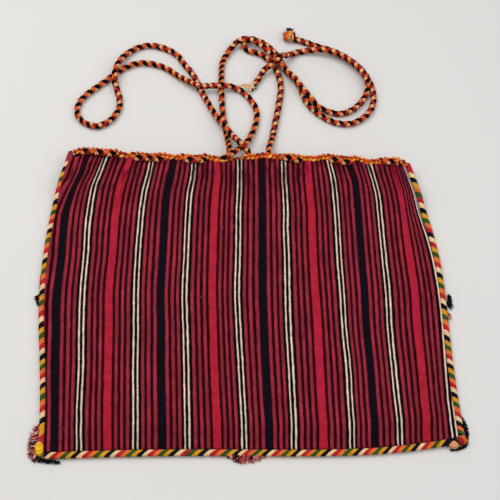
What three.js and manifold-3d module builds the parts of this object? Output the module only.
// Woven shoulder bag, lying on its back: +X to the right, +Y towards the mouth, +Z up. Millimetres.
// Two striped cloths are joined by a wrapped edging on three sides. Each mouth edge carries a flat braid, and a
// round braided cord is laced through both mouth edges, crosses itself and leaves as a shoulder loop and two tails.
import * as THREE from 'three';
import { mergeVertices } from 'three/addons/utils/BufferGeometryUtils.js';
import Module from 'manifold-3d';

const wasm = await Module();
wasm.setup();

// Driving sizes of the pouch
const baseWidth = 388; // between the centres of the two side edgings
const bagHeight = 314; // from the base line to the middle of the mouth braid
const mouthDrop = 17; // how far the mouth line falls over the base width
const baseSag = 8; // how far the bottom edge hangs below the line between its corners
const clothThickness = 1.6;
const pocketDepth = 11; // free space between the two cloths
const edgingRadius = 2.9;
const mouthBraidWidth = 5.6;
const cordDiameter = 5.5;

// Clearances
const seamGap = 0.3; // between pieces that are sewn against each other
const laceSeat = 0.4; // between the laced cord and the cloth that it lies on
const eyeletClearance = 0.3; // round the cord where it goes through the cloth
const cordLift = 0.2; // keeps the free cord just off the surface that the bag lies on

// How the cloths rise from their seams
const sideFlank = 30; // width of the slope beside a side seam
const mouthFlank = 12; // the same at the mouth
const baseFlank = 24; // width of the slope above the bottom seam
const lipFlat = 27; // level strip along the mouth that the cord is laced through
const lipRamp = 36; // slope that carries both cloths up to that strip

// The side edges, from the base to the mouth, as shares of the height and of half the base width
const edgeHeightShares = [0, 0.15, 0.3, 0.45, 0.6, 0.75, 0.88, 1.03];
const leftEdgeShares = [1, 0.993, 0.996, 1.004, 0.994, 0.965, 0.925, 0.856];
const rightEdgeShares = [0.992, 0.992, 1, 1.014, 1.02, 1.006, 0.975, 0.936];
const sagLeanShare = 2.2; // moves the lowest point of the bottom edge to the right

// Mouth lacing: where the cord passes through the cloths, as shares of half the base width from the middle
const leftFrontCrossingShares = [-0.077, -0.16, -0.263, -0.366, -0.541, -0.624];
const leftBackCrossingShares = [-0.077, -0.16, -0.263, -0.366, -0.541, -0.624];
const rightFrontCrossingShares = [0.237, 0.356, 0.505, 0.62, 0.79];
const rightBackCrossingShares = [0.134, 0.237, 0.356, 0.505];
const backTailFootShare = -0.021; // foot of the bound tail, between the cloths
const backLoopFootShare = 0.077; // foot of the shoulder loop, between the cloths
const frontTailFootShare = 0.186; // foot of the knotted tail, between the cloths
const frontLoopFootShare = -0.021; // foot of the shoulder loop that lies on the front edge
const lacingRamp = 8; // length over which the cord goes from one side of a cloth to the other
const lacingPitch = 3.2; // length of one step of a laced tube
const outsideInset = 2.5; // from the cloth's edge to the cord where it shows
const insideInset = 6.5; // from the cloth's edge to the cord where it is hidden
const turnWidth = 13; // between the two legs of the cord's turn in a mouth corner
const leftTurnShare = -0.768; // middle of the left turn
const rightTurnShare = 0.814;
const leftMeetShare = -0.716; // where the front and back lacing meet
const rightMeetShare = 0.7;
const footReach = 8; // how far a foot stands out of the mouth
const footBend = 9; // length in which a foot turns into the lacing
const braidBreak = 19; // opening in the front braid where the loop crosses

// Small trim
const bindingRadius = 3.6;
const bindingLength = 18;
const knotRadius = 1.7;
const fringeThickness = 4;
const fringeLift = 0.5;
const strandCutShare = 0.78; // depth of the gaps between the strands of a fringe

// Pieces on the cord's ends
const endKnotRadius = 6;
const endTuftLength = 9;
const endTuftRadius = 3.4;
const whippingLength = 4;
const whippingWall = 0.7;
const frayRadius = 1.7;
const frayRise = 4; // the frayed end climbs over the shoulder loop

// Facets
const cordSides = 8;
const lacingSides = 8;
const edgingSides = 8;
const cordStep = 12;
const edgingStep = 14;
const settlingPasses = 4; // rounds that settle a grid point on both its edges

// Heights, all from the sizes above
const cordRadius = cordDiameter / 2;
const halfBase = baseWidth / 2;
const laced = cordDiameter + 2 * laceSeat; // room that one laced cord takes
const backLipHeight = laced; // underside of the back cloth at the mouth
const frontLipHeight = backLipHeight + clothThickness + laced;
const lipMiddle = (backLipHeight + frontLipHeight + clothThickness) / 2;
const plateauHeight = clothThickness + pocketDepth; // underside of the front cloth over the pocket
const lacingSwing = clothThickness / 2 + laceSeat + cordRadius;
const frontLacingHeight = frontLipHeight + clothThickness / 2;
const backLacingHeight = backLipHeight + clothThickness / 2;
const mouthBraidThickness = clothThickness + 2 * (laceSeat - seamGap);
const seamInset = edgingRadius + seamGap;

// Hand-chosen points of the free cord, from the mouth outwards
const loopRoute = [
	[7.5, 330, 15], [1, 342, 10], [-6, 354, 9.5], [-14, 370, 5.5], [-26, 400, 3], [-37, 430, 3], [-45, 443, 3],
	[-52, 455, 3], [-64, 464, 3], [-80, 469, 3], [-94, 466, 3], [-106, 457, 4], [-114, 446, 6.5], [-120, 429, 9],
	[-120, 415, 5.5], [-116, 398, 3], [-117, 384, 3], [-126, 369, 3], [-139.5, 361.5, 3], [-153, 366, 3],
	[-160.5, 378, 3], [-156.5, 395, 3], [-133, 418, 3], [-108, 439, 3], [-94, 444.5, 3], [-80, 443.5, 3], [-66, 438, 3],
	[-52, 426, 4], [-31, 409, 9], [-16, 409, 8.5], [-8, 409, 9.5], [0, 410, 7], [13, 407, 3.5], [24, 394, 3],
	[29, 380, 3], [27, 363, 3], [15, 336, 6.5], [6, 325, 11], [3, 320, 15.5]
];
const boundTailRoute = [
	[-5, 348, 3.5], [-7, 375, 3], [-7, 399, 3], [-6, 423, 3], [-3, 446, 3], [2, 456, 3], [9.5, 466, 5],
	[18.5, 472, 8.5], [29, 472, 9.5], [45, 458.5, 9.5], [56.5, 444.5, 7.9], [61, 437.5, 8.8],
	[66.5, 427.7, 8.8], [73.3, 418.9, 8.8], [78.6, 408.6, 8.8], [84, 399.5, 8.6], [89.8, 392, 6.6],
	[95.8, 385.2, 3], [112.8, 375.6, 3], [123.3, 375.3, 3], [134.7, 380.7, 3], [144, 389.8, 3],
	[150, 399, 3], [152.9, 408, 5.8], [152.9, 415.9, 8], [150, 424.2, 8.8], [145.6, 432.8, 8.8],
	[131.3, 448.2, 8.8], [122, 454.1, 8.8], [112.4, 457.2, 8.8], [102.3, 459.4, 7], [82.7, 459.3, 3],
	[75.5, 456, 4.2], [68, 451, 7.4], [63.5, 448.5, 10.6], [59.5, 444.5, 14.4], [48.5, 436.5, 10.5],
	[40, 430, 5.5], [35, 422.5, 3.5], [28.2, 412.6, 3]
];
const knottedTailRoute = [
	[43, 344, 4], [49, 367, 3], [54, 388, 3], [58, 411, 3], [55.5, 433.5, 3], [48.5, 447.5, 3],
	[38, 457.5, 3], [29, 460.5, 3], [22.8, 465.5, 3], [23, 473, 3], [30, 477.5, 3], [39.5, 474.5, 3],
	[50, 465.5, 3], [57, 455.5, 3], [62.5, 442.5, 3], [67, 431.7, 3], [73.7, 422.6, 3],
	[78.6, 412.4, 3], [80.9, 401.9, 3], [83.7, 392.2, 3], [88.5, 383.4, 3], [94.6, 375.9, 3],
	[101.8, 369.7, 3], [109.9, 364.6, 3], [119.6, 361.6, 3], [129.7, 361.8, 3], [139.6, 366.2, 3],
	[148.3, 373.2, 3], [154.3, 381.7, 3], [157.9, 391.9, 3], [158.8, 402.7, 3], [157.5, 413.6, 3],
	[154.7, 423.5, 3], [151.1, 432.1, 3], [146.1, 439.4, 3], [139.3, 447.1, 3], [123, 459.4, 3],
	[105.3, 466.8, 3], [78, 478, 3.5]
];

const materials = {
	cloth: [0x8f2a40, 0.9],
	edging: [0xc4563c, 0.85],
	braid: [0xd9812e, 0.85],
	cord: [0xb8482f, 0.85],
	navy: [0x20222e, 0.95],
	yellow: [0xd8a62c, 0.85],
	cream: [0xe3cfa8, 0.9],
	fringe: [0x9a4048, 0.95]
};

const bag = new THREE.Group();

function add(name, finish, geometry) {
	const [color, roughness] = materials[finish];
	const mesh = new THREE.Mesh(geometry, new THREE.MeshStandardMaterial({ color, roughness, metalness: 0 }));
	mesh.name = name;
	bag.add(mesh);
	return mesh;
}

function mix(a, b, t) {
	return a + (b - a) * t;
}

function smooth(t) {
	const c = Math.min(1, Math.max(0, t));
	return c * c * (3 - 2 * c);
}

// Outline of the pouch

function edgeCurve(shares) {
	return new THREE.CubicInterpolant(edgeHeightShares, shares, 1);
}

const leftCurve = edgeCurve(leftEdgeShares);
const rightCurve = edgeCurve(rightEdgeShares);

function leftX(y) {
	return -halfBase * leftCurve.evaluate(Math.max(0, y / bagHeight))[0];
}

function rightX(y) {
	return halfBase * rightCurve.evaluate(Math.max(0, y / bagHeight))[0];
}

function mouthY(x) {
	return bagHeight - (mouthDrop * x) / baseWidth;
}

function baseY(x) {
	const t = Math.min(1, Math.max(0, (x + halfBase) / baseWidth));
	return -baseSag * Math.sin(Math.PI * t ** sagLeanShare);
}

function clothEdgeY(x) {
	return mouthY(x) - mouthBraidWidth / 2 - seamGap;
}

function lipShare(x, y) {
	return smooth(1 - (clothEdgeY(x) - lipFlat - y) / lipRamp);
}

function seamHeight(x, y) {
	return mix(edgingRadius, lipMiddle, lipShare(x, y));
}

// Height of a cloth's underside. The slope share goes from 0 at a seam to 1 over the pocket

function slopeShare(x, y) {
	const flank = mix(sideFlank, mouthFlank, lipShare(x, y));
	const fromSide = Math.min(x - leftX(y), rightX(y) - x) - seamInset;
	return smooth(fromSide / flank);
}

function backUnderside(x, y) {
	const rim = seamHeight(x, y) - edgingRadius;
	return mix(rim, mix(0, backLipHeight, lipShare(x, y)), slopeShare(x, y));
}

function frontUnderside(x, y) {
	const lip = lipShare(x, y);
	const rim = seamHeight(x, y) + mix(seamGap, 4 * seamGap, lip);
	const fromBase = smooth((y - baseY(x) - seamInset) / baseFlank);
	return mix(rim, mix(plateauHeight, frontLipHeight, lip), slopeShare(x, y) * fromBase);
}

// Solids

function solidOf(geometry) {
	const bare = geometry.index ? geometry.clone() : geometry;
	bare.deleteAttribute('normal');
	bare.deleteAttribute('uv');
	const merged = mergeVertices(bare, 1e-4);
	const mesh = new wasm.Mesh({
		numProp: 3,
		vertProperties: new Float32Array(merged.attributes.position.array),
		triVerts: new Uint32Array(merged.index.array)
	});
	return new wasm.Manifold(mesh);
}

function geometryOf(solid) {
	const mesh = solid.getMesh();
	const geometry = new THREE.BufferGeometry();
	geometry.setAttribute('position', new THREE.BufferAttribute(mesh.vertProperties, 3));
	geometry.setIndex(new THREE.BufferAttribute(mesh.triVerts, 1));
	geometry.computeVertexNormals();
	return geometry;
}

function cut(geometry, ...cutters) {
	return geometryOf(cutters.reduce((solid, cutter) => solid.subtract(solidOf(cutter)), solidOf(geometry)));
}

function ovalSection(halfWidth, halfHeight, sides) {
	const points = [];
	for (let i = 0; i < sides; i++) {
		const turn = (2 * Math.PI * i) / sides;
		points.push(new THREE.Vector2(halfWidth * Math.cos(turn), halfHeight * Math.sin(turn)));
	}
	return new THREE.Shape(points);
}

function curveThrough(points) {
	return new THREE.CatmullRomCurve3(points, false, 'centripetal');
}

function tube(points, radius, sides, step) {
	const curve = curveThrough(points);
	const steps = Math.max(1, Math.round(curve.getLength() / step));
	return new THREE.ExtrudeGeometry(ovalSection(radius, radius, sides), {
		steps,
		extrudePath: curve,
		bevelEnabled: false
	});
}

// A cloth is a closed shell of even thickness between a grid of points and the same grid moved up

function clothShell(columns, rows, underside) {
	const positions = [];
	const index = [];
	const wide = columns.length;
	const layer = wide * rows.length;
	for (const rise of [0, clothThickness]) {
		for (const row of rows) {
			for (const column of columns) {
				let x = mix(-halfBase, halfBase, column);
				let y = 0;
				for (let pass = 0; pass < settlingPasses; pass++) {
					y = mix(baseY(x) + seamInset, clothEdgeY(x), row);
					x = mix(leftX(y) + seamInset, rightX(y) - seamInset, column);
				}
				positions.push(x, y, underside(x, y) + rise);
			}
		}
	}
	const quad = (a, b, c, d) => index.push(a, b, c, a, c, d);
	for (let r = 0; r + 1 < rows.length; r++) {
		for (let c = 0; c + 1 < wide; c++) {
			const a = r * wide + c;
			quad(a, a + wide, a + wide + 1, a + 1);
			quad(layer + a, layer + a + 1, layer + a + wide + 1, layer + a + wide);
		}
	}
	const rim = [];
	for (let c = 0; c < wide; c++) rim.push(c);
	for (let r = 1; r < rows.length; r++) rim.push(r * wide + wide - 1);
	for (let c = wide - 2; c >= 0; c--) rim.push((rows.length - 1) * wide + c);
	for (let r = rows.length - 2; r > 0; r--) rim.push(r * wide);
	rim.forEach((a, i) => {
		const b = rim[(i + 1) % rim.length];
		quad(a, b, layer + b, layer + a);
	});
	const geometry = new THREE.BufferGeometry();
	geometry.setAttribute('position', new THREE.Float32BufferAttribute(positions, 3));
	geometry.setIndex(index);
	geometry.computeVertexNormals();
	return geometry;
}

// Laced cord: a wave in height that changes sides at each crossing

function waveSide(x, crossings, startsOut) {
	let passed = 0;
	let nearest = Infinity;
	for (const crossing of crossings) {
		const reached = Math.abs(x) >= Math.abs(crossing * halfBase);
		if (reached) passed++;
		nearest = Math.min(nearest, Math.abs(x - crossing * halfBase));
	}
	const sign = (passed % 2 === 0) === startsOut ? 1 : -1;
	return sign * Math.sin((Math.min(1, nearest / lacingRamp) * Math.PI) / 2);
}

function lacingPoint(x, crossings, startsOut, middle, outward, extraInset) {
	const side = waveSide(x, crossings, startsOut);
	const inset = mix(insideInset, outsideInset, (side + 1) / 2) + extraInset;
	return new THREE.Vector3(x, clothEdgeY(x) - inset, middle + outward * side * lacingSwing);
}

function lacingRun(fromX, toX, ...rule) {
	const count = Math.max(1, Math.round(Math.abs(toX - fromX) / lacingPitch));
	const points = [];
	for (let i = 0; i <= count; i++) points.push(lacingPoint(mix(fromX, toX, i / count), ...rule));
	return points;
}

// A foot comes straight in at the mouth and bends into the lacing

function footPoints(x, height) {
	return [
		new THREE.Vector3(x, mouthY(x) + footReach - seamGap, height),
		new THREE.Vector3(x, mouthY(x), height),
		new THREE.Vector3(x, clothEdgeY(x) - insideInset / 3, height)
	];
}

// The turn in a mouth corner takes the front lacing down between the cloths and back along them

function turnPoints(start, meetX, height) {
	const away = Math.sign(start.x);
	const endY = clothEdgeY(start.x) - insideInset - turnWidth;
	const middleY = (start.y + endY) / 2;
	const points = [];
	const parts = 5;
	for (let i = 0; i <= parts; i++) {
		const angle = Math.PI * (0.5 - i / parts);
		const x = start.x + away * (turnWidth / 2) * Math.cos(angle);
		const y = middleY + (start.y - middleY) * Math.sin(angle);
		points.push(new THREE.Vector3(x, y, mix(start.z, height, smooth(i / parts))));
	}
	points.push(new THREE.Vector3(meetX + away * seamGap, endY, height));
	return points;
}

function frontLacing(startPoints, startX, crossings, startsOut, turnShare, meetShare) {
	const run = lacingRun(startX, turnShare * halfBase, crossings, startsOut, frontLacingHeight, 1, 0);
	const turnStart = run.pop();
	return [...startPoints, ...run, ...turnPoints(turnStart, meetShare * halfBase, lipMiddle)];
}

function backLacing(footX, crossings, meetShare) {
	const away = Math.sign(meetShare);
	const startX = footX + away * (footBend - lacingPitch);
	const meetX = meetShare * halfBase;
	const lastX = crossings[crossings.length - 1] * halfBase;
	const drop = (x) => turnWidth * smooth((Math.abs(x) - Math.abs(lastX) + lacingRamp) / (2 * lacingRamp));
	const run = lacingRun(startX, meetX, crossings, false, backLacingHeight, -1, 0);
	for (const point of run) point.y -= drop(point.x);
	return [...footPoints(footX, lipMiddle), ...run];
}

const leftFrontFoot = new THREE.Vector3(
	frontLoopFootShare * halfBase,
	mouthY(0) - seamGap,
	frontLacingHeight + lacingSwing
);
const lacings = {
	drawstring_front_left: frontLacing(
		[leftFrontFoot],
		frontLoopFootShare * halfBase - lacingRamp,
		leftFrontCrossingShares,
		true,
		leftTurnShare,
		leftMeetShare
	),
	drawstring_front_right: frontLacing(
		footPoints(frontTailFootShare * halfBase, lipMiddle),
		frontTailFootShare * halfBase + footBend - lacingPitch,
		rightFrontCrossingShares,
		false,
		rightTurnShare,
		rightMeetShare
	),
	drawstring_back_left: backLacing(backTailFootShare * halfBase, leftBackCrossingShares, leftMeetShare),
	drawstring_back_right: backLacing(backLoopFootShare * halfBase, rightBackCrossingShares, rightMeetShare)
};

function lacingTube(name, extra) {
	return tube(lacings[name], cordRadius + extra, lacingSides, lacingPitch);
}

// The two cloths, with an eyelet wherever the cord goes through

function evenShares(from, to, count) {
	return Array.from({ length: count }, (_, i) => mix(from, to, i / count));
}

const flankShare = sideFlank / baseWidth;
const columns = [
	...evenShares(0, flankShare, 6),
	...evenShares(flankShare, 1 - flankShare, 16),
	...evenShares(1 - flankShare, 1, 6),
	1
];
const lipStartShare = 1 - (lipFlat + lipRamp) / bagHeight;
const lipFlatShare = 1 - lipFlat / bagHeight;
const baseFlankShare = baseFlank / bagHeight;
const rows = [
	...evenShares(0, baseFlankShare, 4),
	...evenShares(baseFlankShare, lipStartShare, 7),
	...evenShares(lipStartShare, lipFlatShare, 5),
	lipFlatShare,
	1
];

function eyeletCutters(...names) {
	return names.map((name) => lacingTube(name, eyeletClearance));
}

add(
	'back_panel',
	'cloth',
	cut(clothShell(columns, rows, backUnderside), ...eyeletCutters('drawstring_back_left', 'drawstring_back_right'))
);
add(
	'front_panel',
	'cloth',
	cut(clothShell(columns, rows, frontUnderside), ...eyeletCutters('drawstring_front_left', 'drawstring_front_right'))
);
for (const name of Object.keys(lacings)) add(name, 'cord', lacingTube(name, 0));

// Edging, sewn round the two sides and the base

function sideEdging(sideX) {
	const points = [];
	const top = mouthY(sideX(bagHeight)) + mouthBraidWidth / 2;
	const start = bindingLength;
	const count = Math.round((top - start) / edgingStep);
	for (let i = 0; i <= count; i++) {
		const y = mix(start, top, i / count);
		points.push(new THREE.Vector3(sideX(y), y, seamHeight(sideX(y), y)));
	}
	return tube(points, edgingRadius, edgingSides, edgingStep);
}

function baseEdging() {
	const points = [];
	const left = leftX(0) + seamInset;
	const right = rightX(0) - seamInset;
	const count = Math.round((right - left) / edgingStep);
	for (let i = 0; i <= count; i++) {
		const x = mix(left, right, i / count);
		points.push(new THREE.Vector3(x, baseY(x), edgingRadius));
	}
	return tube(points, edgingRadius, edgingSides, edgingStep);
}

add('left_edging', 'edging', sideEdging(leftX));
add('right_edging', 'edging', sideEdging(rightX));
add('bottom_edging', 'edging', baseEdging());

// Flat braid along each mouth edge

function mouthBraid(fromX, toX, underside) {
	const length = toX - fromX;
	const geometry = new THREE.ExtrudeGeometry(
		ovalSection(mouthBraidWidth / 2, mouthBraidThickness / 2, edgingSides),
		{ steps: Math.round(length / edgingStep), depth: length, bevelEnabled: false }
	);
	const place = geometry.attributes.position;
	for (let i = 0; i < place.count; i++) {
		const x = fromX + place.getZ(i);
		const middle = underside(x, clothEdgeY(x)) + clothThickness / 2;
		place.setXYZ(i, x, mouthY(x) + place.getX(i), middle + place.getY(i));
	}
	geometry.computeVertexNormals();
	return geometry;
}

const braidLeft = leftX(mouthY(-halfBase)) + seamInset;
const braidRight = rightX(mouthY(halfBase)) - seamInset;
add('front_mouth_braid_left', 'braid', mouthBraid(braidLeft, -braidBreak / 2, frontUnderside));
add('front_mouth_braid_right', 'braid', mouthBraid(braidBreak / 2, braidRight, frontUnderside));
add('back_mouth_braid', 'braid', mouthBraid(braidLeft, braidRight, backUnderside));

// Free cord: the shoulder loop and the two tails

function routePoints(route) {
	return route.map(([x, y, z]) => new THREE.Vector3(x, y, z + cordLift));
}

function footEnd(share) {
	const x = share * halfBase;
	const reach = [footReach, footReach + cordRadius];
	return reach.map((out) => new THREE.Vector3(x, mouthY(x) + out, lipMiddle));
}

const frontWay = lacings.drawstring_front_left[1].clone().sub(leftFrontFoot).normalize();
const loopEnd = [cordRadius, seamGap].map((back) => leftFrontFoot.clone().addScaledVector(frontWay, -back));
const loopPoints = [...footEnd(backLoopFootShare), ...routePoints(loopRoute), ...loopEnd];
const boundPoints = [...footEnd(backTailFootShare), ...routePoints(boundTailRoute)];
const knottedPoints = [...footEnd(frontTailFootShare), ...routePoints(knottedTailRoute)];
add('strap_loop', 'cord', tube(loopPoints, cordRadius, cordSides, cordStep));
add('strap_tail_bound', 'cord', tube(boundPoints, cordRadius, cordSides, cordStep));
add('strap_tail_knotted', 'cord', tube(knottedPoints, cordRadius, cordSides, cordStep));

// Pieces at the two free ends of the cord

function lathed(profile, sides) {
	return new THREE.LatheGeometry(
		profile.map(([r, y]) => new THREE.Vector2(r, y)),
		sides
	);
}

function addTurned(name, finish, geometry, from, way) {
	const mesh = add(name, finish, geometry);
	mesh.quaternion.setFromUnitVectors(new THREE.Vector3(0, 1, 0), way);
	mesh.position.copy(from);
}

function endOf(points, height) {
	const last = points[points.length - 1];
	const way = last.clone().sub(points[points.length - 2]).setZ(0).normalize();
	return { way, at: (ahead) => last.clone().addScaledVector(way, ahead).setZ(height) };
}

const knotEnd = endOf(knottedPoints, endKnotRadius + seamGap);
const faceShare = 0.45; // radius of the face that the cord enters, as a share of the knot's
const knotProfile = [
	[0, 0],
	[faceShare * endKnotRadius, 0],
	[0.9 * endKnotRadius, 0.45 * endKnotRadius],
	[endKnotRadius, endKnotRadius],
	[0.9 * endKnotRadius, 1.55 * endKnotRadius],
	[faceShare * endKnotRadius, 2 * endKnotRadius],
	[0, 2 * endKnotRadius]
];
addTurned('end_knot', 'cord', lathed(knotProfile, 12), knotEnd.at(seamGap), knotEnd.way);
const tuftProfile = [
	[0, 0],
	[0.5 * endTuftRadius, 0],
	[0.8 * endTuftRadius, 0.4 * endTuftLength],
	[endTuftRadius, endTuftLength],
	[0, 0.9 * endTuftLength]
];
const tuftWay = knotEnd.way.clone().cross(new THREE.Vector3(0, 0, 1));
const tuftStart = knotEnd.at(seamGap + endKnotRadius).addScaledVector(tuftWay, endKnotRadius + seamGap);
addTurned('end_tuft', 'navy', lathed(tuftProfile, 9), tuftStart, tuftWay);

const whippingRadius = cordRadius + whippingWall;
const boundEnd = endOf(boundPoints, whippingRadius + seamGap);
const whippingProfile = [
	[0, 0],
	[0.9 * whippingRadius, 0],
	[whippingRadius, 0.2 * whippingLength],
	[whippingRadius, 0.8 * whippingLength],
	[0.8 * whippingRadius, whippingLength],
	[0, whippingLength]
];
addTurned('end_whipping', 'cream', lathed(whippingProfile, 10), boundEnd.at(seamGap), boundEnd.way);
const frayStart = boundEnd.at(whippingLength + 2 * seamGap);
// From the binding, sideways over the shoulder loop; the third number is the share of the rise
const frayRoute = [[0, 0, 0], [-1, -1.4, 0], [-4, -1.9, 0.4], [-7.5, -0.8, 0.8], [-12.4, 1.2, 1]];
const frayPoints = frayRoute.map(([x, y, rise]) => frayStart.clone().add(new THREE.Vector3(x, y, rise * frayRise)));
add('end_fray', 'cord', tube(frayPoints, frayRadius, cordSides, lacingPitch));

// Corner bindings, and the fringes and tufts that hang on the seams

function capsule(radius, start, end) {
	const profile = [
		[0, start - radius],
		[0.75 * radius, start - 0.66 * radius],
		[radius, start],
		[radius, end - 0.3 * radius],
		[0.8 * radius, end],
		[0, end]
	];
	return lathed(profile, 10);
}

function fringe(along, across, inner, spread, strands) {
	const points = [];
	const innerParts = 6;
	for (let i = 0; i <= innerParts; i++) {
		const angle = mix(spread, -spread, i / innerParts);
		points.push(new THREE.Vector2(inner * Math.cos(angle), inner * Math.sin(angle)));
	}
	const tips = 2 * strands;
	for (let i = 0; i <= tips; i++) {
		const angle = mix(-spread, spread, i / tips);
		const oval = 1 / Math.hypot(Math.cos(angle) / along, Math.sin(angle) / across);
		const reach = i % 2 === 0 ? oval * strandCutShare : oval;
		points.push(new THREE.Vector2(reach * Math.cos(angle), reach * Math.sin(angle)));
	}
	return new THREE.ExtrudeGeometry(new THREE.Shape(points), { depth: fringeThickness, bevelEnabled: false });
}

const corners = [
	{ side: 'left', out: -1, turn: 1.1, along: 14, across: 14, spread: 0.44, strands: 9, finish: 'yellow' },
	{ side: 'right', out: 1, turn: -0.17, along: 9, across: 9, spread: 0.42, strands: 7, finish: 'cream' }
];
for (const { side, out, turn, along, across, spread, strands, finish } of corners) {
	const x = (out < 0 ? leftX(0) : rightX(0)) + out * (bindingRadius - edgingRadius);
	const centre = new THREE.Vector3(x, bindingRadius, bindingRadius);
	const wrapEnd = bindingLength - bindingRadius - seamGap;
	const wrap = add(`corner_binding_${side}`, finish, capsule(bindingRadius, 0, wrapEnd));
	wrap.position.copy(centre);
	const fan = fringe(along, across, bindingRadius, Math.PI * spread, strands);
	fan.rotateZ(Math.PI * turn).translate(x, bindingRadius, fringeLift);
	const room = capsule(bindingRadius + seamGap, 0, 2 * wrapEnd).translate(...centre);
	add(`corner_fringe_${side}`, 'fringe', cut(fan, room));
}

const leftTuftY = 0.51 * bagHeight;
const rightTuftY = 0.455 * bagHeight;
const baseFringeX = -0.03 * halfBase;
const seat = edgingRadius + seamGap + knotRadius;
const hung = [
	{ name: 'left_tuft', x: leftX(leftTuftY) - seat, y: leftTuftY, turn: Math.PI, along: 8, across: 7, strands: 4 },
	{ name: 'right_tuft', x: rightX(rightTuftY) + seat, y: rightTuftY, turn: 0, along: 8, across: 10, strands: 5 },
	{
		name: 'base_fringe',
		x: baseFringeX,
		y: baseY(baseFringeX) - seat,
		turn: -Math.PI / 2,
		along: 9,
		across: 17,
		strands: 11
	}
];
for (const { name, x, y, turn, along, across, strands } of hung) {
	const knot = add(`${name}_knot`, 'navy', new THREE.SphereGeometry(knotRadius, 8, 6));
	knot.position.set(x, y, edgingRadius);
	const spread = (0.8 * Math.PI) / 2;
	const finish = name === 'base_fringe' ? 'fringe' : 'navy';
	const fan = add(name, finish, fringe(along, across, knotRadius + seamGap, spread, strands));
	fan.position.set(x, y, fringeLift);
	fan.rotation.z = turn;
}

// The origin is the middle of the pouch's own box, on the surface that it lies on

const onCord = new Set([
	'strap_loop', 'strap_tail_bound', 'strap_tail_knotted', 'end_knot', 'end_tuft', 'end_whipping', 'end_fray'
]);
const box = new THREE.Box3();
bag.updateMatrixWorld(true);
for (const mesh of bag.children) if (!onCord.has(mesh.name)) box.expandByObject(mesh, true);
const centre = box.getCenter(new THREE.Vector3());
bag.position.set(-centre.x, -centre.y, -box.min.z);
console.log('placed at', bag.position.x.toFixed(3), bag.position.y.toFixed(3), bag.position.z.toFixed(3));

export default bag;
